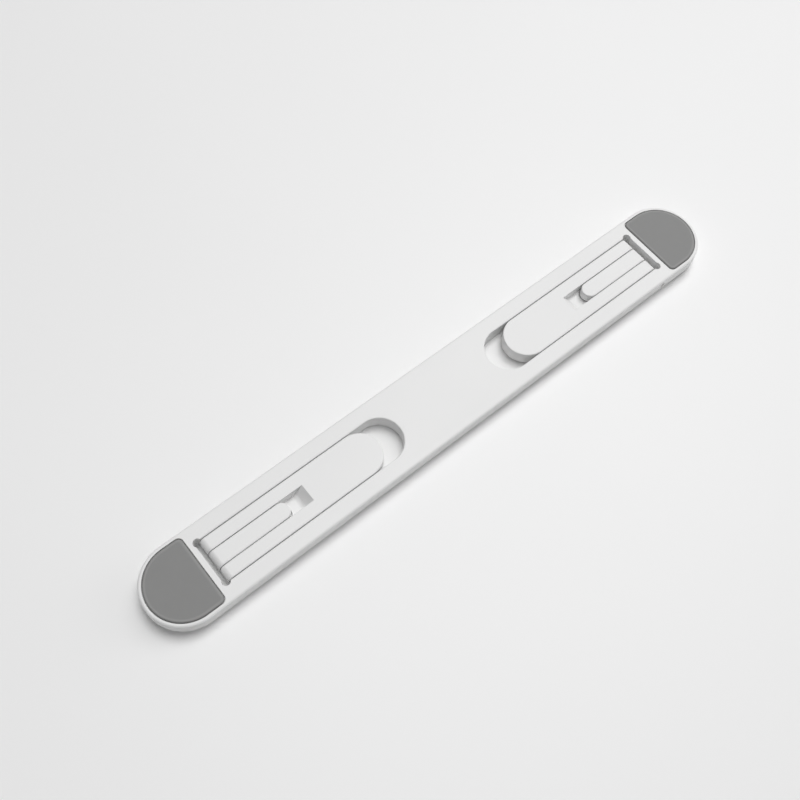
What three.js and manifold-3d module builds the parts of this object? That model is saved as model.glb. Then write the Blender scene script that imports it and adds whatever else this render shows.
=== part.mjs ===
// Strip laptop stand, folded: a flat bar with a gel back, two long legs and two
// short legs that fold out of its face on a steel pin at each end.
// Millimetres. +X along the bar, +Y across it, +Z up out of the face that the
// legs lie in. The origin is under the middle of the gel back.
import * as THREE from 'three';
import { mergeVertices } from 'three/addons/utils/BufferGeometryUtils.js';
import Module from 'manifold-3d';

const wasm = await Module();
wasm.setup();

// ---- driving dimensions ------------------------------------------------------

// bar
const LENGTH = 255;
const WIDTH = 30.4;
const RAIL = 6.37;              // solid side of the bar beside the pockets
const EDGE_ROUND = 0.9;         // round along the top edge of the shell

// back: gel sheet, its tape and the cover that they stick to
const GEL = 0.6;
const GEL_INSET = 3.2;
const TAPE = 0.15;
const TAPE_INSET = 0.5;         // from the edge of the sheet that it holds
const LAYER_GAP = 0.05;         // between two sheets that lie on each other
const COVER_LIP = 0.55;         // height of the cover's lowest edge
const COVER_PLATE = 0.7;
const COVER_RIM = 1.5;
const RIM_TOP = 3;
const BELLY_ROUND = 2.4;        // round under the cover's edge
const SEAM = 0.1;               // between the shell and the cover

// hinge
const LEG_THICK = 5.8;
const FLOOR_GAP = 0.35;         // long leg to the pocket's floor
const PIN_FROM_END = 28.5;
const PIN_D = 1.8;
const PIN_BORE_GAP = 0.2;       // pin to leg, on the radius
const PIN_SEAT_GAP = 0.1;       // pin to shell, on the radius
const PIN_SUNK = 2.2;           // pin's end below the side of the bar
const PIN_BLIND_WALL = 1.9;     // shell left over the pin's far end
const HINGE_END = 1.86;         // pin to the flat end of a leg
const HINGE_ROUND = 2.1;        // round on top of that end
const OPEN_ANGLE = 100;         // degrees from folded to the stop
const STOP_GAP = 0.2;           // open leg to its stop
const PIT_D = 3;                // round relief at each end of the hinge slot
const PIT_OUT = 2.6;            // its centre, outward from the pin
const PIT_IN = 0.5;             // its centre, inward from the pocket's side

// long leg, and the pocket that it folds into
const LEG_REACH = 68;           // pin to tip
const LEG_GAP = 0.28;
const FINGER_GAP = 9.2;         // crescent between the leg's tip and the pocket's end

// short leg, in a slot through the long leg
const SMALL_WIDTH = 6.4;
const SMALL_THICK = 4;
const SMALL_REACH = 29.1;       // pin to tip
const SMALL_GAP = 0.25;
const SCOOP_RUN = 7.9;          // finger scoop: short leg's tip to its far edge
const SCOOP_SLOPE = 50;         // degrees
const SCOOP_ROUND = 2.45;       // round between its slope and its floor
const SADDLE_GAP = 0.3;         // rib under the short leg

// grey pads at the two ends of the leg side
const PAD_THICK = 1;
const PAD_PROUD = 0.25;
const PAD_LONG = 22.55;         // straight edge to the end of the bar
const PAD_RING = 1.55;          // from the bar's outline to the pad
const PAD_GAP = 0.2;
const PAD_CORNER = 2;

// hollows under the shell
const WALL = 1.2;
const SKIN = 1.5;
const BAYS = 8;
const BAY_RIB = 1.2;

// fineness of round shapes
const ARC = 28;                 // steps in half a turn of an outline
const BORE_SIDES = 24;
const EDGE_STEPS = 3;
const BELLY_STEPS = 6;

// ---- sizes that follow -------------------------------------------------------

const R = WIDTH / 2;
const END_X = LENGTH / 2 - R;
const TAPE_LOW = GEL + LAYER_GAP;
const RECESS_TOP = TAPE_LOW + TAPE + LAYER_GAP;
const PLATE_TOP = RECESS_TOP + COVER_PLATE;
const SHELL_LOW = PLATE_TOP + SEAM;
const SHOULDER = RIM_TOP + SEAM;
const LEG_LOW = PLATE_TOP + FLOOR_GAP;
const FACE = LEG_LOW + LEG_THICK;           // height of the leg side above the gel's sticky side
const BARREL_R = LEG_THICK / 2;
const PIN_R = PIN_D / 2;
const PIN_X = LENGTH / 2 - PIN_FROM_END;
const PIN_Z = FACE - BARREL_R;
const LEG_END_X = PIN_X + HINGE_END;
const POCKET_R = R - RAIL;
const LEG_R = POCKET_R - LEG_GAP;
const LEG_TIP_X = PIN_X - LEG_REACH;
const POCKET_X = LEG_TIP_X - FINGER_GAP;
const SMALL_R = SMALL_WIDTH / 2;
const SMALL_TIP_X = PIN_X - SMALL_REACH;
const SMALL_LOW = FACE - SMALL_THICK;
const SLOT_R = SMALL_R + SMALL_GAP;
const SLOT_X = SMALL_TIP_X - SMALL_GAP;
const PAD_EDGE_X = LENGTH / 2 - PAD_LONG;
const PAD_LOW = FACE + PAD_PROUD - PAD_THICK;
const PAD_TAPE_LOW = PAD_LOW - LAYER_GAP - TAPE;
const PAD_SEAT = PAD_TAPE_LOW - LAYER_GAP;
const BIG = 2 * FACE;           // reaches past every face that it cuts
const ENDS = { right: 0, left: Math.PI };   // each end is the other turned half round

// ---- outlines ----------------------------------------------------------------

function arc(cx, cy, radius, fromDeg, toDeg, steps) {
  const points = [];
  for (let i = 0; i <= steps; i += 1) {
    const angle = THREE.MathUtils.degToRad(fromDeg + ((toDeg - fromDeg) * i) / steps);
    points.push(new THREE.Vector2(cx + radius * Math.cos(angle), cy + radius * Math.sin(angle)));
  }
  return points;
}

// a long slot shape about the middle of the bar
function stadium(radius) {
  return new THREE.Shape([
    ...arc(END_X, 0, radius, -90, 90, ARC),
    ...arc(-END_X, 0, radius, 90, 270, ARC),
  ]);
}

// straight on the +X side, half round towards the middle of the bar
function tongue(tipX, radius, farX) {
  return new THREE.Shape([
    ...arc(tipX + radius, 0, radius, 90, 270, ARC),
    new THREE.Vector2(farX, -radius),
    new THREE.Vector2(farX, radius),
  ]);
}

// half round with the end of the bar, straight edge with two round corners
function padShape(edgeX, radius, corner) {
  const c = radius - corner;
  return new THREE.Shape([
    ...arc(END_X, 0, radius, -90, 90, ARC),
    ...arc(edgeX + corner, c, corner, 90, 180, 6),
    ...arc(edgeX + corner, -c, corner, 180, 270, 6),
  ]);
}

// ---- solids ------------------------------------------------------------------

// an outline seen from above, from one height to another
function upright(shape, low, high, round = 0, roundSteps = 1) {
  const geometry = new THREE.ExtrudeGeometry(shape, {
    depth: high - low - 2 * round,
    steps: 1,
    bevelEnabled: round > 0,
    bevelThickness: round,
    bevelSize: round,
    bevelOffset: -round,
    bevelSegments: roundSteps,
  });
  return geometry.translate(0, 0, low + round);
}

// an outline seen from the side, from -half to +half across the bar
function across(shape, half) {
  const geometry = new THREE.ExtrudeGeometry(shape, { depth: 2 * half, steps: 1, bevelEnabled: false });
  return geometry.rotateX(Math.PI / 2).translate(0, half, 0);
}

function rod(radius, fromY, toY) {
  const geometry = new THREE.CylinderGeometry(radius, radius, toY - fromY, BORE_SIDES);
  return geometry.translate(PIN_X, (fromY + toY) / 2, PIN_Z);
}

function pillar(radius, x, y, low, high) {
  const geometry = new THREE.CylinderGeometry(radius, radius, high - low, BORE_SIDES);
  return geometry.rotateX(Math.PI / 2).translate(x, y, (low + high) / 2);
}

function block(x0, x1, y0, y1, z0, z1) {
  const geometry = new THREE.BoxGeometry(x1 - x0, y1 - y0, z1 - z0);
  return geometry.translate((x0 + x1) / 2, (y0 + y1) / 2, (z0 + z1) / 2);
}

function solid(geometry) {
  const bare = geometry.clone();
  bare.deleteAttribute('normal');
  bare.deleteAttribute('uv');
  const merged = mergeVertices(bare, 1e-4);
  return new wasm.Manifold(new wasm.Mesh({
    numProp: 3,
    vertProperties: new Float32Array(merged.attributes.position.array),
    triVerts: new Uint32Array(merged.index.array),
  }));
}

function cut(body, geometries) {
  return geometries.reduce((rest, geometry) => rest.subtract(solid(geometry)), body);
}

function join(body, geometries) {
  return geometries.reduce((rest, geometry) => rest.add(solid(geometry)), body);
}

function piece(name, body, finish) {
  const data = body.getMesh();
  const geometry = new THREE.BufferGeometry();
  geometry.setAttribute('position', new THREE.BufferAttribute(data.vertProperties, 3));
  geometry.setIndex(new THREE.BufferAttribute(data.triVerts, 1));
  geometry.computeVertexNormals();
  const mesh = new THREE.Mesh(geometry, new THREE.MeshStandardMaterial(finish));
  mesh.name = name;
  return mesh;
}

const WHITE = { color: 0xe9e9e8, roughness: 0.5, metalness: 0 };
const GREY = { color: 0x8d8d8d, roughness: 0.85, metalness: 0 };
const GEL_GREY = { color: 0x55585b, roughness: 0.6, metalness: 0 };
const STEEL = { color: 0xb9bcc0, roughness: 0.3, metalness: 1 };
const TAPE_AMBER = { color: 0xd8cfae, roughness: 0.5, metalness: 0 };

// ---- shell -------------------------------------------------------------------

// how far outward of the pin the pocket's end wall stands, so that the back of a leg
// opened as far as it goes meets the top edge of the wall
function stopReach() {
  const open = THREE.MathUtils.degToRad(OPEN_ANGLE);
  return (BARREL_R + STOP_GAP - (FACE - PIN_Z) * Math.cos(open)) / Math.sin(open);
}

function pocket() {
  return upright(tongue(POCKET_X, POCKET_R, PIN_X + stopReach()), -BIG, BIG);
}

function pits() {
  const x = PIN_X + PIT_OUT;
  const y = POCKET_R - PIT_IN;
  return [-y, y].map((side) => pillar(PIT_D / 2, x, side, -BIG, BIG));
}

function pinSeat() {
  return rod(PIN_R + PIN_SEAT_GAP, -R - 1, R - PIN_BLIND_WALL + PIN_SEAT_GAP);
}

function padSeat() {
  return upright(padShape(PAD_EDGE_X - PAD_GAP, R - PAD_RING + PAD_GAP, PAD_CORNER), PAD_SEAT, BIG);
}

// moulding hollows, open to the back, under the rails, the middle and the ends
function railHollows() {
  const inner = POCKET_R + WALL;
  const outer = R - COVER_RIM - SEAM - WALL;
  const end = PIN_X - PIN_D - BARREL_R;
  const pitch = (2 * end + BAY_RIB) / BAYS;
  const hollows = [];
  for (let i = 0; i < BAYS; i += 1) {
    const x = -end + i * pitch;
    hollows.push(block(x, x + pitch - BAY_RIB, inner, outer, -BIG, FACE - SKIN));
    hollows.push(block(x, x + pitch - BAY_RIB, -outer, -inner, -BIG, FACE - SKIN));
  }
  return hollows;
}

function middleHollows() {
  const end = POCKET_X - WALL;
  const side = POCKET_R;
  const pitch = (2 * end + BAY_RIB) / 3;
  const hollows = [];
  for (let i = 0; i < 3; i += 1) {
    const x = -end + i * pitch;
    hollows.push(block(x, x + pitch - BAY_RIB, BAY_RIB / 2, side, -BIG, FACE - SKIN));
    hollows.push(block(x, x + pitch - BAY_RIB, -side, -BAY_RIB / 2, -BIG, FACE - SKIN));
  }
  return hollows;
}

function endHollow(turn) {
  const radius = R - COVER_RIM - SEAM - WALL;
  const outline = padShape(PAD_EDGE_X + WALL, radius, PAD_CORNER);
  const whole = solid(upright(outline, -BIG, PAD_SEAT - SKIN).rotateZ(turn));
  return cut(whole, [block(-LENGTH, LENGTH, -BAY_RIB / 2, BAY_RIB / 2, -2 * BIG, BIG)]);
}

function bodyShell() {
  const rounded = solid(upright(stadium(R), SHOULDER - 2 * EDGE_ROUND, FACE, EDGE_ROUND, EDGE_STEPS));
  const above = block(-LENGTH, LENGTH, -WIDTH, WIDTH, SHOULDER, BIG);
  let shell = rounded.intersect(solid(above));
  shell = join(shell, [upright(stadium(R - COVER_RIM - SEAM), SHELL_LOW, SHOULDER + SEAM)]);
  shell = cut(shell, [...railHollows(), ...middleHollows()]);
  for (const turn of Object.values(ENDS)) {
    shell = shell.subtract(endHollow(turn));
    shell = cut(shell, [pocket(), ...pits(), pinSeat(), padSeat()].map((tool) => tool.rotateZ(turn)));
  }
  return piece('body_shell', shell, WHITE);
}

// ---- back --------------------------------------------------------------------

// the rib that the short leg rests on, in the long leg's slot
function saddle() {
  const outline = tongue(SMALL_TIP_X, SMALL_R, PIN_X - BARREL_R - 2 * SADDLE_GAP);
  return upright(outline, RECESS_TOP + COVER_PLATE / 2, SMALL_LOW - SADDLE_GAP);
}

function baseCover() {
  const tall = solid(upright(stadium(R), COVER_LIP, RIM_TOP + 2 * BELLY_ROUND, BELLY_ROUND, BELLY_STEPS));
  const below = block(-LENGTH, LENGTH, -WIDTH, WIDTH, 0, RIM_TOP);
  let cover = tall.intersect(solid(below));
  cover = cut(cover, [
    upright(stadium(R - COVER_RIM), PLATE_TOP, BIG),
    upright(stadium(R - GEL_INSET + PAD_GAP), -1, RECESS_TOP),
  ]);
  cover = join(cover, Object.values(ENDS).map((turn) => saddle().rotateZ(turn)));
  return piece('base_cover', cover, WHITE);
}

function gelPad() {
  return piece('gel_pad', solid(upright(stadium(R - GEL_INSET), 0, GEL)), GEL_GREY);
}

function gelTape() {
  const outline = stadium(R - GEL_INSET - TAPE_INSET);
  return piece('gel_tape', solid(upright(outline, TAPE_LOW, TAPE_LOW + TAPE)), TAPE_AMBER);
}

// ---- end pads ----------------------------------------------------------------

function endPad(end) {
  const outline = padShape(PAD_EDGE_X, R - PAD_RING, PAD_CORNER);
  return piece(`end_pad_${end}`, solid(upright(outline, PAD_LOW, PAD_LOW + PAD_THICK)), GREY);
}

function endPadTape(end) {
  const inset = TAPE_INSET;
  const outline = padShape(PAD_EDGE_X + inset, R - PAD_RING - inset, PAD_CORNER - inset);
  const sheet = upright(outline, PAD_TAPE_LOW, PAD_TAPE_LOW + TAPE);
  return piece(`end_pad_tape_${end}`, solid(sheet), TAPE_AMBER);
}

// ---- legs and pins -----------------------------------------------------------

// a leg from the side: flat on top, a flat end with a round above it, and round about
// the pin below
function legSide(tipX, low) {
  const foot = THREE.MathUtils.radToDeg(Math.acos(HINGE_END / BARREL_R));
  const drop = Math.min(PIN_Z - low, BARREL_R);
  const under = 180 + THREE.MathUtils.radToDeg(Math.asin(drop / BARREL_R));
  return new THREE.Shape([
    new THREE.Vector2(tipX - 1, FACE),
    ...arc(LEG_END_X - HINGE_ROUND, FACE - HINGE_ROUND, HINGE_ROUND, 90, 0, ARC / 2),
    ...arc(PIN_X, PIN_Z, BARREL_R, -foot, under - 360, ARC / 2),
    new THREE.Vector2(tipX - 1, low),
  ]);
}

function legBlank(tipX, radius, low) {
  const plan = solid(upright(tongue(tipX, radius, PIN_X + LEG_THICK), -1, BIG));
  return plan.intersect(solid(across(legSide(tipX, low), radius + 1)));
}

// the finger scoop past the short leg's tip: a slope, rounded into a flat floor
function scoop() {
  const topX = SMALL_TIP_X - SCOOP_RUN;
  const slope = THREE.MathUtils.degToRad(SCOOP_SLOPE);
  const roundX = topX + SMALL_THICK / Math.tan(slope) + SCOOP_ROUND * Math.tan(slope / 2);
  const outline = new THREE.Shape([
    new THREE.Vector2(topX, FACE),
    ...arc(roundX, SMALL_LOW + SCOOP_ROUND, SCOOP_ROUND, 270 - SCOOP_SLOPE, 270, 10),
    new THREE.Vector2(SMALL_TIP_X + SMALL_R, SMALL_LOW),
    new THREE.Vector2(SMALL_TIP_X + SMALL_R, BIG),
    new THREE.Vector2(topX, BIG),
  ]);
  return across(outline, SLOT_R);
}

function legBore(half) {
  return rod(PIN_R + PIN_BORE_GAP, -half, half);
}

function bigLeg(end) {
  const leg = cut(legBlank(LEG_TIP_X, LEG_R, LEG_LOW), [
    upright(tongue(SLOT_X, SLOT_R, PIN_X + LEG_THICK), -1, BIG),
    scoop(),
    legBore(WIDTH),
  ]);
  return piece(`big_leg_${end}`, leg, WHITE);
}

function smallLeg(end) {
  const leg = cut(legBlank(SMALL_TIP_X, SMALL_R, SMALL_LOW), [legBore(WIDTH)]);
  return piece(`small_leg_${end}`, leg, WHITE);
}

function hingePin(end) {
  return piece(`hinge_pin_${end}`, solid(rod(PIN_R, -R + PIN_SUNK, R - PIN_BLIND_WALL)), STEEL);
}

// ---- assembly ----------------------------------------------------------------

const stand = new THREE.Group();
stand.add(bodyShell(), baseCover(), gelPad(), gelTape());

for (const [end, turn] of Object.entries(ENDS)) {
  const half = new THREE.Group();
  half.rotation.z = turn;
  half.add(endPad(end), endPadTape(end), bigLeg(end), smallLeg(end), hingePin(end));
  stand.add(half);
}

export default stand;
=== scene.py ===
# Strip laptop stand, folded and lying on its gel back with its legs upwards.
import math

import bmesh
import bpy
from mathutils import Matrix, Vector


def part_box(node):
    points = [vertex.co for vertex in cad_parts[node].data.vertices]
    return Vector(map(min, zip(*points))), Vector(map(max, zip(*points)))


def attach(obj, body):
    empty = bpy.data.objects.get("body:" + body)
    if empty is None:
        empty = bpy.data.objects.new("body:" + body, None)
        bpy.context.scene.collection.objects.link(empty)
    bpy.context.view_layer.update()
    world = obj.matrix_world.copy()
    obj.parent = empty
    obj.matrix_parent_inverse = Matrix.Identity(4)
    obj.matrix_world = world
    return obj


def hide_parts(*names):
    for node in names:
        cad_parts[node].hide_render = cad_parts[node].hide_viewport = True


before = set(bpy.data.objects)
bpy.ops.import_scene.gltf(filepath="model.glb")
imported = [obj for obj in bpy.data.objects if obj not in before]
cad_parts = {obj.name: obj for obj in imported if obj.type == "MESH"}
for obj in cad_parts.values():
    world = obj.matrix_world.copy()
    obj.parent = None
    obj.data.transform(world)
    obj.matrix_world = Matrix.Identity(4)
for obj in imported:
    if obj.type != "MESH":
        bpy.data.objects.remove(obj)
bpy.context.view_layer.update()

MM = 0.001


# ---- table, light and camera -------------------------------------------------------
# The stand lies on a white table top in a white room, under a broad soft roof light. A
# window and a low doorway off its right end brighten that end and the near side. The
# camera looks down along it from near its left end, a little rolled, as if held by hand.

class Wire:
    """A socket of a material's nodes. Sums on wires add Math nodes."""

    def __init__(self, tree, socket=None):
        self.tree = tree
        self.socket = socket

    def make(self, kind, settings=None, sockets=None, out=0):
        """A node of any kind: its settings first, then its sockets' values or wires."""
        node = self.tree.nodes.new(kind)
        for name, value in (settings or {}).items():
            if name == "stops":
                ramp = node.color_ramp.elements
                while len(ramp) < len(value):
                    ramp.new(1)
                for stop, (place, shade) in zip(ramp, value):
                    stop.position = place
                    stop.color = (shade, shade, shade, 1)
            else:
                setattr(node, name, value)
        for name, value in (sockets or {}).items():
            if isinstance(value, Wire):
                self.tree.links.new(value.socket, node.inputs[name])
            else:
                node.inputs[name].default_value = value
        return Wire(self.tree, node.outputs[out] if node.outputs else None)

    def sum(self, operation, *values):
        return self.make("ShaderNodeMath", {"operation": operation}, dict(enumerate(values)))

    def __add__(self, other):
        return self.sum("ADD", self, other)

    def __sub__(self, other):
        return self.sum("SUBTRACT", self, other)

    def __rsub__(self, other):
        return self.sum("SUBTRACT", other, self)

    def __mul__(self, other):
        return self.sum("MULTIPLY", self, other)

    def __gt__(self, other):
        return self.sum("GREATER_THAN", self, other)

    __radd__ = __add__
    __rmul__ = __mul__


def noise(place, size, detail=2.0, rough=0.5):
    """Soft noise whose features are about size millimetres across, from 0 to 1."""
    return place.make("ShaderNodeTexNoise", None, {
        "Vector": place, "Scale": 1 / (size * MM), "Detail": detail, "Roughness": rough})


def tint(fac, low, high):
    """A colour between two, by a wire. Sockets 6 and 7 are the node's colours, 2 its result."""
    colours = {0: fac, 6: (*low, 1), 7: (*high, 1)}
    return fac.make("ShaderNodeMix", {"data_type": "RGBA"}, colours, 2)


def bumps(place, layers):
    """Bump nodes on top of each other. A layer is its height wire, depth in mm and strength."""
    normal = None
    for height, depth, strength in layers:
        sockets = {"Height": height, "Distance": depth * MM, "Strength": strength}
        if normal:
            sockets["Normal"] = normal
        normal = place.make("ShaderNodeBump", None, sockets)
    return normal


def finish_of(name, paint):
    """A material. paint gets the object's own coordinates and returns the shader's sockets."""
    material = bpy.data.materials.new(name)
    material.use_nodes = True
    tree = material.node_tree
    tree.nodes.clear()
    blank = Wire(tree)
    place = blank.make("ShaderNodeTexCoord", None, None, "Object")
    shader = blank.make("ShaderNodeBsdfPrincipled", None, paint(place))
    blank.make("ShaderNodeOutputMaterial", None, {"Surface": shader})
    return material


def table_top(place):
    cloud = noise(place, 160, 1.0)
    grain = noise(place, 0.6, 3.0)
    return {
        "Base Color": tint(cloud, (0.92, 0.92, 0.92), (0.95, 0.95, 0.95)),
        "Roughness": cloud * 0.1 + 0.42,
        "Normal": bumps(place, [(grain, 0.01, 0.15)]),
    }


table = bmesh.new()
bmesh.ops.create_grid(table, x_segments=8, y_segments=8, size=3.0)
table_mesh = bpy.data.meshes.new("table_top")
table.to_mesh(table_mesh)
table_mesh.materials.append(finish_of("table_top", table_top))
table_top_piece = bpy.data.objects.new("table_top", table_mesh)
bpy.context.collection.objects.link(table_top_piece)


def lamp(name, kind, power, size, place):
    """A light that points at the middle of the stand. A sun's size is an angle."""
    light = bpy.data.lights.new(name, kind)
    light.energy = power
    if kind == "SUN":
        light.angle = size
    else:
        light.size = size
    holder = bpy.data.objects.new(name, light)
    holder.location = place
    holder.rotation_euler = (-Vector(place)).to_track_quat("-Z", "Y").to_euler()
    bpy.context.collection.objects.link(holder)


lamp("roof_light", "SUN", power=1.42, size=math.radians(32), place=(0.29, 0.17, 1.1))
lamp("window", "AREA", power=0.9, size=0.3, place=(0.42, 0.12, 0.6))
lamp("doorway", "SUN", power=0.4, size=math.radians(33), place=(0.6, -0.22, 0.22))

room = bpy.data.worlds.new("room")
room.use_nodes = True
walls = room.node_tree.nodes["Background"]
walls.inputs["Color"].default_value = (1, 1, 1, 1)
walls.inputs["Strength"].default_value = 0.26
bpy.context.scene.world = room
bpy.context.scene.view_settings.view_transform = "Standard"

CAMERA_PLACE = Vector((-127.55, -105.37, 329.7)) * MM
CAMERA_TURN = math.radians(-44.867)
CAMERA_TILT = math.radians(26.408)
CAMERA_ROLL = math.radians(6.321)
CAMERA_LENS = 45.0

camera_data = bpy.data.cameras.new("camera")
camera_data.lens = CAMERA_LENS
camera_data.clip_start = 0.01
camera = bpy.data.objects.new("camera", camera_data)
camera.location = CAMERA_PLACE
camera.rotation_euler = (
    Matrix.Rotation(CAMERA_TURN, 3, "Z")
    @ Matrix.Rotation(CAMERA_TILT, 3, "X")
    @ Matrix.Rotation(CAMERA_ROLL, 3, "Z")
).to_euler()
bpy.context.collection.objects.link(camera)
bpy.context.scene.camera = camera


# ---- base cover --------------------------------------------------------------------
# The lower half of the bar: a shallow tray of white ABS, injection moulded, whose edge
# rounds under like a boat's. Its low rim carries the shell, which is welded to it, and
# a saddle moulded on its floor at each end holds the short leg up.

bar_low, bar_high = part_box("body_shell")
cover_low, cover_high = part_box("base_cover")
gel_low, gel_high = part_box("gel_pad")
BAR_R = (bar_high.y - bar_low.y) / 2
END_X = bar_high.x - BAR_R
FACE = bar_high.z
ARC_STEPS = 96                  # corners in a whole turn of an outline
HAIR = 0.01 * MM                # places closer than this are the same
WELD = 0.001 * MM               # corners closer than this are one
X, Z = 0, 2
COVER_LIP = cover_low.z
RIM = 1.5 * MM
RIM_TOP = 3.0 * MM
BELLY = 2.4 * MM                # round of the cover's lower edge
PLATE_TOP = 1.55 * MM
GEL_SEAT_TOP = 0.85 * MM
GEL_SEAT_GAP = 0.2 * MM
COVER_EDGE = 0.12 * MM


def bar_face(bm, radius, height):
    """A flat face with the bar's outline: a circle whose halves are drawn apart."""
    made = bmesh.ops.create_circle(bm, cap_ends=True, segments=ARC_STEPS, radius=radius)
    half_step = Matrix.Rotation(math.pi / ARC_STEPS, 3, "Z")
    bmesh.ops.rotate(bm, verts=made["verts"], matrix=half_step)
    for corner in made["verts"]:
        corner.co += Vector((math.copysign(END_X, corner.co.x), 0, height))
    return made["verts"]


def raise_up(bm, corners, height):
    """Draws the face on these corners up into a solid."""
    face = next(iter(set.intersection(*(set(corner.link_faces) for corner in corners))))
    made = bmesh.ops.extrude_face_region(bm, geom=[face])
    top = [part for part in made["geom"] if isinstance(part, bmesh.types.BMVert)]
    bmesh.ops.translate(bm, verts=top, vec=(0, 0, height))
    bmesh.ops.recalc_face_normals(bm, faces=bm.faces)


def bar_solid(radius, low, high):
    bm = bmesh.new()
    raise_up(bm, bar_face(bm, radius, low), high - low)
    return bm


def edges_at(bm, axis, place):
    """Edges with both ends at one place along an axis."""
    return [edge for edge in bm.edges
            if all(abs(end.co[axis] - place) < HAIR for end in edge.verts)]


def round_off(bm, edges, width, steps):
    bmesh.ops.bevel(bm, geom=edges, offset=width, segments=steps, affect="EDGES", profile=0.5,
                    material=-1)


def solid(name, bm):
    """A finished bmesh as an object in the scene."""
    mesh = bpy.data.meshes.new(name)
    bm.to_mesh(mesh)
    bm.free()
    item = bpy.data.objects.new(name, mesh)
    bpy.context.collection.objects.link(item)
    return item


def settle(item):
    """Turns the object's modifiers into its mesh."""
    now = item.evaluated_get(bpy.context.evaluated_depsgraph_get())
    done = bpy.data.meshes.new_from_object(now)
    item.modifiers.clear()
    item.data = done


def carve(item, cutters, operation="DIFFERENCE"):
    """Cuts each solid out of the item, or joins it on."""
    for bm in cutters:
        cutter = solid("cutter", bm)
        change = item.modifiers.new("cut", "BOOLEAN")
        change.operation = operation
        change.solver = "EXACT"
        change.object = cutter
        settle(item)
        bpy.data.objects.remove(cutter)


ROUND_FROM = math.radians(35)   # edges that turn more than this are rounded
SHARP_FROM = math.radians(50)   # edges left that turn more than this look sharp


def soften(item, width, steps, weights=False):
    """Rounds the sharp edges and shades the faces as one smooth skin."""
    change = item.modifiers.new("round", "BEVEL")
    change.width = width
    change.segments = steps
    change.use_clamp_overlap = False
    change.limit_method = "WEIGHT" if weights else "ANGLE"
    change.angle_limit = ROUND_FROM
    change.harden_normals = False
    settle(item)
    item.data.shade_smooth()
    item.data.set_sharp_from_angle(angle=SHARP_FROM)
    shade = item.modifiers.new("shade", "WEIGHTED_NORMAL")
    shade.weight = 100
    shade.keep_sharp = True


def hand_over(item, material, body, slot, *nodes):
    """Gives a piece its material and body, and hides the CAD nodes it stands for. The slot is
    not used.
    """
    item.data.materials.clear()
    item.data.materials.append(material)
    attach(item, body)
    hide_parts(*nodes)


def turned(bm, turn):
    """Turns a feature of the right end round to where it belongs."""
    bmesh.ops.rotate(bm, verts=bm.verts, matrix=Matrix.Rotation(turn, 3, "Z"))
    return bm


def tongue_solid(tip, radius, far, low, high):
    """Half round towards the middle of the bar, square at the far end."""
    bm = bmesh.new()
    made = bmesh.ops.create_circle(bm, cap_ends=True, segments=ARC_STEPS, radius=radius)
    for corner in made["verts"]:
        if corner.co.x > HAIR:
            corner.co.x = far - tip - radius
            corner.co.y = math.copysign(radius, corner.co.y)
        corner.co += Vector((tip + radius, 0, low))
    bmesh.ops.remove_doubles(bm, verts=bm.verts, dist=WELD)
    raise_up(bm, list(bm.verts), high - low)
    return bm


def moulded_white(place):
    """Spark-eroded white ABS: a fine even grain, faint flow clouds and a little dust."""
    grain = noise(place, 0.22, 2.0)
    wave = noise(place, 9, 1.0)
    cloud = noise(place, 45, 2.0)
    dust = noise(place, 1.1, 4.0, 0.7) > 0.74
    return {
        "Base Color": tint(cloud * 0.6 + dust * 0.4, (0.87, 0.87, 0.868), (0.83, 0.83, 0.827)),
        "Roughness": cloud * 0.12 + grain * 0.1 + 0.36,
        "Specular IOR Level": 0.45,
        "Normal": bumps(place, [(wave, 0.02, 0.12), (grain, 0.012, 0.3)]),
    }


ENDS = {"right": 0.0, "left": math.pi}
white = finish_of("moulded_white", moulded_white)
leg_low, leg_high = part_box("big_leg_right")
small_low, small_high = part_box("small_leg_right")
BARREL_R = (leg_high.z - leg_low.z) / 2
PIN_X = leg_high.x - 1.86 * MM  # the pin's middle, from the legs' hinge ends
PIN_Z = FACE - BARREL_R
SMALL_THICK = 4.0 * MM
SMALL_UNDER = FACE - SMALL_THICK
SADDLE_GAP = 0.3 * MM
SADDLE_TOP = SMALL_UNDER - SADDLE_GAP
SADDLE_RIM = 0.1 * MM           # how far it stands out round the short leg
SADDLE_ROOT = 0.3 * MM          # how deep it goes into the floor
SADDLE_TIP = small_low.x - SADDLE_RIM
SADDLE_R = small_high.y + SADDLE_RIM
SADDLE_FAR = PIN_X - BARREL_R - 2 * SADDLE_GAP

tray = bar_solid(BAR_R, COVER_LIP, RIM_TOP)
round_off(tray, edges_at(tray, Z, COVER_LIP), BELLY, steps=10)
cover = solid("cover", tray)
carve(cover, [
    bar_solid(BAR_R - RIM, PLATE_TOP, 2 * RIM_TOP),
    bar_solid(gel_high.y + GEL_SEAT_GAP, -RIM_TOP, GEL_SEAT_TOP),
])
for turn in ENDS.values():
    saddle = tongue_solid(SADDLE_TIP, SADDLE_R, SADDLE_FAR, PLATE_TOP - SADDLE_ROOT, SADDLE_TOP)
    carve(cover, [turned(saddle, turn)], "UNION")
soften(cover, COVER_EDGE, steps=2)
hand_over(cover, white, "bar", "white_plastic", "base_cover")


# ---- gel sheet and its tape --------------------------------------------------------
# What the bar sticks to a laptop with: a die-cut sheet of grey polyurethane gel in a
# shallow seat under the cover, held by double-sided tape.

def gel_skin(place):
    """Tacky gel: smooth, with faint ripples and lint that has stuck to it."""
    ripple = noise(place, 6, 1.0)
    lint = noise(place, 0.5, 5.0, 0.8) > 0.76
    return {
        "Base Color": tint(lint, (0.085, 0.09, 0.095), (0.2, 0.2, 0.2)),
        "Roughness": ripple * 0.15 + lint * 0.3 + 0.28,
        "Coat Weight": 0.2,
        "Normal": bumps(place, [(ripple, 0.05, 0.2), (lint, 0.02, 0.3)]),
    }


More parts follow.
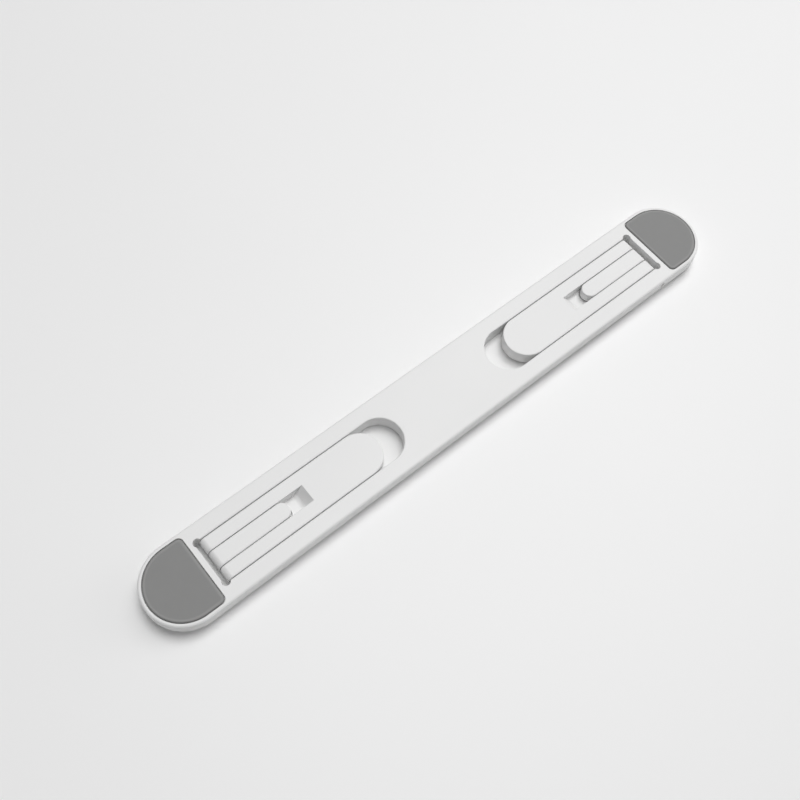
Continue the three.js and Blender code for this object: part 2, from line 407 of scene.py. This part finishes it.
def tape_film(place):
    cloud = noise(place, 12, 3.0)
    return {
        "Base Color": tint(cloud, (0.62, 0.55, 0.36), (0.72, 0.66, 0.48)),
        "Roughness": cloud * 0.2 + 0.35,
        "Normal": bumps(place, [(cloud, 0.02, 0.2)]),
    }


GEL_EDGE = 0.15 * MM

gel = solid("gel", bar_solid(gel_high.y, gel_low.z, gel_high.z))
soften(gel, GEL_EDGE, steps=3)
hand_over(gel, finish_of("gel_skin", gel_skin), "bar", "gel", "gel_pad")

tape = finish_of("tape_film", tape_film)
for node in ("gel_tape", "end_pad_tape_right", "end_pad_tape_left"):
    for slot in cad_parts[node].material_slots:
        slot.material = tape


# ---- shell -------------------------------------------------------------------------
# The upper half of the bar, moulded in the same white ABS: two through pockets for the
# legs, a shallow seat for the grey pad at each end, and a hole through one rail for
# each hinge pin. The open legs stop against the top edge of the pocket's outer wall.

LEG_R = leg_high.y
POCKET_R = LEG_R + 0.28 * MM
POCKET_X = leg_low.x - 9.2 * MM
SEAM_GAP = 0.1 * MM
SHOULDER = RIM_TOP + SEAM_GAP
SKIRT_LOW = bar_low.z
SKIRT_INSET = RIM + SEAM_GAP
OPEN = math.radians(100)        # how far the legs open
STOP_GAP = 0.2 * MM
STOP_X = PIN_X + (BARREL_R + STOP_GAP - BARREL_R * math.cos(OPEN)) / math.sin(OPEN)
PIT_R = 1.5 * MM                # the round pits in the pocket's outer corners
PIT_X = PIN_X + 2.6 * MM
PIT_Y = POCKET_R - 0.5 * MM
PIN_R = 0.9 * MM
PIN_FIT = 0.1 * MM
BLIND_WALL = 1.8 * MM           # what is left of the rail past the pin hole's end
SHELL_EDGE = 0.9 * MM
POCKET_EDGE = 0.45 * MM
FINE_EDGE = 0.15 * MM
SEAM_EDGE = 0.08 * MM
OVER = 5 * MM                   # how far a cutter reaches past what it cuts

pad_low, pad_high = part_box("end_pad_right")
PAD_GAP = 0.2 * MM
PAD_CORNER = 2.0 * MM
PAD_SEAT = 6.7 * MM
PAD_R = pad_high.x - END_X


def upright(edges):
    return [edge for edge in edges if abs(edge.verts[0].co.z - edge.verts[1].co.z) > HAIR]


def pad_solid(straight_x, radius, corner_r, low, high):
    """The grey pad's outline: half round with the bar's end, straight on the other side."""
    bm = bmesh.new()
    made = bmesh.ops.create_circle(bm, cap_ends=True, segments=ARC_STEPS, radius=radius)
    for corner in made["verts"]:
        if corner.co.x < -HAIR:
            corner.co.x = straight_x - END_X
            corner.co.y = math.copysign(radius, corner.co.y)
        corner.co += Vector((END_X, 0, low))
    bmesh.ops.remove_doubles(bm, verts=bm.verts, dist=WELD)
    raise_up(bm, list(bm.verts), high - low)
    round_off(bm, upright(edges_at(bm, X, straight_x)), corner_r, steps=8)
    return bm


def rod(radius, start, stop):
    """A round bar along the hinge line of the right end."""
    bm = bmesh.new()
    bmesh.ops.create_cone(bm, cap_ends=True, segments=40, radius1=radius, radius2=radius,
                          depth=stop - start)
    bmesh.ops.rotate(bm, verts=bm.verts, matrix=Matrix.Rotation(math.pi / 2, 3, "X"))
    bmesh.ops.translate(bm, verts=bm.verts, vec=(PIN_X, (start + stop) / 2, PIN_Z))
    return bm


def pit(side):
    """An upright round cutter for one outer corner of the right pocket."""
    bm = bmesh.new()
    bmesh.ops.create_cone(bm, cap_ends=True, segments=36, radius1=PIT_R, radius2=PIT_R,
                          depth=4 * FACE)
    bmesh.ops.translate(bm, verts=bm.verts, vec=(PIT_X, side * PIT_Y, 0))
    return bm


def halve(bm, normal):
    """Cuts every face that crosses the middle of the bar in two, so that none closes round
    a pocket or a slot: such a face can turn over when it is split into triangles."""
    bmesh.ops.bisect_plane(bm, geom=[*bm.verts, *bm.edges, *bm.faces], plane_co=(0, 0, 0),
                           plane_no=normal, dist=WELD)


shell_block = bar_solid(BAR_R, SHOULDER, FACE)
underside = next(face for face in shell_block.faces if face.normal.z < -0.9)
bmesh.ops.inset_region(shell_block, faces=[underside], thickness=SKIRT_INSET)
skirt = bmesh.ops.extrude_face_region(shell_block, geom=[underside])
skirt_corners = [part for part in skirt["geom"] if isinstance(part, bmesh.types.BMVert)]
bmesh.ops.translate(shell_block, verts=skirt_corners, vec=(0, 0, SKIRT_LOW - SHOULDER))
bmesh.ops.delete(shell_block, geom=[underside], context="FACES_ONLY")
bmesh.ops.recalc_face_normals(shell_block, faces=shell_block.faces)

halve(shell_block, (1, 0, 0))
halve(shell_block, (0, 1, 0))
shell = solid("shell", shell_block)
for turn in ENDS.values():
    carve(shell, [turned(cutter, turn) for cutter in (
        tongue_solid(POCKET_X, POCKET_R, STOP_X, -OVER, FACE + OVER),
        pit(-1),
        pit(1),
        pad_solid(pad_low.x - PAD_GAP, PAD_R + PAD_GAP, PAD_CORNER, PAD_SEAT, FACE + OVER),
        rod(PIN_R + PIN_FIT, -BAR_R - OVER, BAR_R - BLIND_WALL),
    )])


MOULD_LINE = math.radians(30)   # edges that turn more than this may get a round


def round_edges(item, width, steps, share):
    """Rounds sharp edges by share(edge), from 0 to 1, of the width, and smooths the skin."""
    bm = bmesh.new()
    bm.from_mesh(item.data)
    weight = bm.edges.layers.float.new("bevel_weight_edge")
    for edge in bm.edges:
        if len(edge.link_faces) == 2 and edge.calc_face_angle(0) > MOULD_LINE:
            edge[weight] = share(edge)
    bm.to_mesh(item.data)
    bm.free()
    soften(item, width, steps, weights=True)


def shell_round(edge):
    """The bar's own edge gets the whole round, the pockets' and the seam's less."""
    a, b = (end.co for end in edge.verts)
    middle = (a + b) / 2
    outward = math.hypot(max(abs(middle.x) - END_X, 0), middle.y)
    outer = outward > BAR_R - 5 * HAIR
    if abs(a.z - b.z) > HAIR:
        return 0
    if abs(a.z - FACE) < HAIR:
        if outer:
            return 1
        if abs(middle.x) < PIT_X - PIT_R:
            return POCKET_EDGE / SHELL_EDGE
        return FINE_EDGE / SHELL_EDGE
    if outer and abs(a.z - SHOULDER) < HAIR:
        return SEAM_EDGE / SHELL_EDGE
    return 0


round_edges(shell, SHELL_EDGE, 6, shell_round)
hand_over(shell, white, "bar", "white_plastic", "body_shell")


# ---- end pads ----------------------------------------------------------------------
# Half-round pads of grey silicone rubber, cut from sheet with a softly pressed rim and
# taped into their seats. They stand a little proud, so that the folded stand rests and
# grips on them.

def ramp(value, start, stop):
    """Rises softly from 0 to 1 as the value goes from start to stop."""
    return value.make("ShaderNodeMapRange", {"interpolation_type": "SMOOTHSTEP"}, {
        "Value": value, "From Min": start, "From Max": stop})


def from_pad_edge(place):
    """How far a point of a pad lies in from its edge, up to the round of its corners."""
    along = place.make("ShaderNodeSeparateXYZ", None, {0: place}, "X")
    across = place.make("ShaderNodeSeparateXYZ", None, {0: place}, "Y")
    along = place.sum("ABSOLUTE", along)
    past_centre = place.sum("MAXIMUM", along - END_X, 0.0)
    from_centre = place.sum("SQRT", past_centre * past_centre + across * across)
    to_straight = place.sum("MAXIMUM", pad_low.x + PAD_CORNER - along, 0.0)
    to_round = place.sum("MAXIMUM", from_centre + PAD_CORNER - PAD_R, 0.0)
    return PAD_CORNER - place.sum("SQRT", to_straight * to_straight + to_round * to_round)


def silicone(place):
    """Matt grey silicone: a velvety grain, faint mottling, dust, and a painted highlight, a
    pale band just inside the rim.
    """
    grain = noise(place, 0.18, 3.0)
    mottle = noise(place, 5, 3.0)
    speck = noise(place, 0.7, 2.0, 0.6) > 0.80
    inward = from_pad_edge(place)
    # a pale band 0.3 to 1.3 mm in from the edge: a painted highlight along the pad's rounded
    # rim
    painted_rim_highlight = ramp(inward, 0.3 * MM, 0.6 * MM) * (1 - ramp(inward, 0.8 * MM, 1.3 * MM))
    mottle_dust_and_rim_highlight = mottle * 0.3 + speck * 0.2 + painted_rim_highlight * (noise(place, 2.5, 3.0) * 0.5 + 0.35)
    return {
        "Base Color": tint(mottle_dust_and_rim_highlight, (0.245, 0.245, 0.243), (0.325, 0.325, 0.322)),
        "Roughness": mottle * 0.1 + 0.6,
        "Specular IOR Level": 0.4,
        "Sheen Weight": 0.25,
        "Sheen Roughness": 0.4,
        "Normal": bumps(place, [(mottle, 0.03, 0.1), (grain, 0.015, 0.35)]),
    }


PAD_EDGE = 0.6 * MM

grey = finish_of("silicone", silicone)
for end, turn in ENDS.items():
    sheet = pad_solid(pad_low.x, PAD_R, PAD_CORNER, pad_low.z, pad_high.z)
    pad = solid(f"pad_{end}", turned(sheet, turn))
    soften(pad, PAD_EDGE, steps=6)
    hand_over(pad, grey, "bar", "grey_silicone", f"end_pad_{end}")


# ---- legs --------------------------------------------------------------------------
# One long and one short leg at each end, solid white ABS, both drilled for the same
# pin and rounded over beside it. The short leg lies in a slot through the long one, and
# a scoop past its tip lets a fingertip under it.

SMALL_R = small_high.y
HEEL_X = PIN_X - 0.92 * BARREL_R  # where the short leg thickens into its hinge
SLOT_GAP = 0.25 * MM
SLOT_R = SMALL_R + SLOT_GAP
SLOT_X = small_low.x - SLOT_GAP
SCOOP_X = small_low.x - 7.9 * MM
SCOOP_SLOPE = math.radians(50)
SCOOP_ROUND = 2.45 * MM
BORE_R = PIN_R + 0.2 * MM
HINGE_ROUND = 2.1 * MM
HINGE_CORNER = 0.5 * MM
LEG_EDGE = 0.45 * MM
BORE_EDGE = 0.15 * MM
SCOOP_EDGE = 0.12 * MM
NEAR = 0.1 * MM                 # an edge within this of a feature belongs to it


def block(low, high):
    """A box between two opposite corners."""
    low, high = Vector(low), Vector(high)
    bm = bmesh.new()
    bmesh.ops.create_cube(bm, size=1)
    bmesh.ops.scale(bm, verts=bm.verts, vec=high - low)
    bmesh.ops.translate(bm, verts=bm.verts, vec=(low + high) / 2)
    return bm


def leg_blank(tip, radius):
    """A leg from above: round at the tip, with softened corners at the hinge end."""
    bm = tongue_solid(tip, radius, leg_high.x, leg_low.z - OVER, FACE + OVER)
    round_off(bm, upright(edges_at(bm, X, leg_high.x)), HINGE_CORNER, steps=6)
    halve(bm, (0, 1, 0))
    return bm


def hinge_side():
    """A leg from its side: a block with the hinge end's rounds, above and below the pin."""
    bm = block((0, -2 * LEG_R, leg_low.z), (leg_high.x, 2 * LEG_R, FACE))
    for height, radius in ((FACE, HINGE_ROUND), (leg_low.z, leg_high.x - PIN_X)):
        hinge_end = edges_at(bm, X, leg_high.x)
        corner = [edge for edge in edges_at(bm, Z, height) if edge in hinge_end]
        round_off(bm, corner, radius, steps=16)
    return bm


def scoop():
    """A box with a sloping far end whose foot is rounded into the floor."""
    bm = block((SCOOP_X, -SLOT_R, SMALL_UNDER), (small_low.x + SMALL_R, SLOT_R, FACE + OVER))
    run = SMALL_THICK / math.tan(SCOOP_SLOPE)
    for corner in bm.verts:
        if corner.co.x < SCOOP_X + HAIR:
            corner.co.x += run if corner.co.z < FACE else -run * OVER / SMALL_THICK
    foot = edges_at(bm, X, SCOOP_X + run)
    round_off(bm, foot, SCOOP_ROUND * math.tan(SCOOP_SLOPE / 2), steps=12)
    halve(bm, (0, 1, 0))
    return bm


def leg_round(edge):
    """Outer edges get the whole round, the pin hole's less and inner corners none."""
    middle = (edge.verts[0].co + edge.verts[1].co) / 2
    from_pin = math.hypot(middle.x - PIN_X, middle.z - PIN_Z)
    if not edge.is_convex:
        return 0
    if from_pin < BORE_R + NEAR:
        return BORE_EDGE / LEG_EDGE
    return 1


def long_leg_round(edge):
    """As leg_round, with a fine edge round the scoop and the slot's round end."""
    middle = (edge.verts[0].co + edge.verts[1].co) / 2
    along = SCOOP_X - NEAR < middle.x < small_low.x + SMALL_R
    if along and abs(middle.y) < SLOT_R + NEAR and edge.is_convex:
        return SCOOP_EDGE / LEG_EDGE
    return leg_round(edge)


def finish_leg(leg, share, turn, node):
    """Rounds a leg, turns it to its end of the bar and hands it over to its own body."""
    round_edges(leg, LEG_EDGE, 5, share)
    leg.data.transform(Matrix.Rotation(turn, 4, "Z"))
    hand_over(leg, white, leg.name, "white_plastic", node)


for end, turn in ENDS.items():
    long_leg = solid(f"long_leg_{end}", leg_blank(leg_low.x, LEG_R))
    carve(long_leg, [hinge_side()], "INTERSECT")
    carve(long_leg, [
        tongue_solid(SLOT_X, SLOT_R, PIN_X + 2 * OVER, -OVER, FACE + OVER),
        scoop(),
        rod(BORE_R, -2 * LEG_R, 2 * LEG_R),
    ])
    finish_leg(long_leg, long_leg_round, turn, f"big_leg_{end}")

    short_leg = solid(f"short_leg_{end}", leg_blank(small_low.x, SMALL_R))
    carve(short_leg, [hinge_side()], "INTERSECT")
    carve(short_leg, [
        block((0, -LEG_R, -OVER), (HEEL_X, LEG_R, SMALL_UNDER)),
        rod(BORE_R, -2 * LEG_R, 2 * LEG_R),
    ])
    finish_leg(short_leg, leg_round, turn, f"small_leg_{end}")


# ---- hinge pins --------------------------------------------------------------------
# A cut length of 1.8 mm drawn steel rod at each end, chamfered, pushed in through the
# hole in one rail. It sits a little below the side of the bar.

def drawn_steel(place):
    """Drawn steel: fine bright lines along the rod."""
    drawn_out = {0: place, 1: (1, 0.05, 1)}
    streak = place.make("ShaderNodeVectorMath", {"operation": "MULTIPLY"}, drawn_out)
    lines = noise(streak, 0.08, 2.0)
    return {
        "Base Color": tint(lines, (0.5, 0.5, 0.51), (0.62, 0.62, 0.63)),
        "Metallic": 1.0,
        "Roughness": lines * 0.2 + 0.22,
        "Normal": bumps(place, [(lines, 0.005, 0.3)]),
    }


PIN_CHAMFER = 0.15 * MM

steel = finish_of("drawn_steel", drawn_steel)
pin_low, pin_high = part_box("hinge_pin_right")
for end, turn in ENDS.items():
    pin = solid(f"pin_{end}", turned(rod(PIN_R, pin_low.y, pin_high.y), turn))
    soften(pin, PIN_CHAMFER, steps=2)
    hand_over(pin, steel, "bar", "pin_steel", f"hinge_pin_{end}")
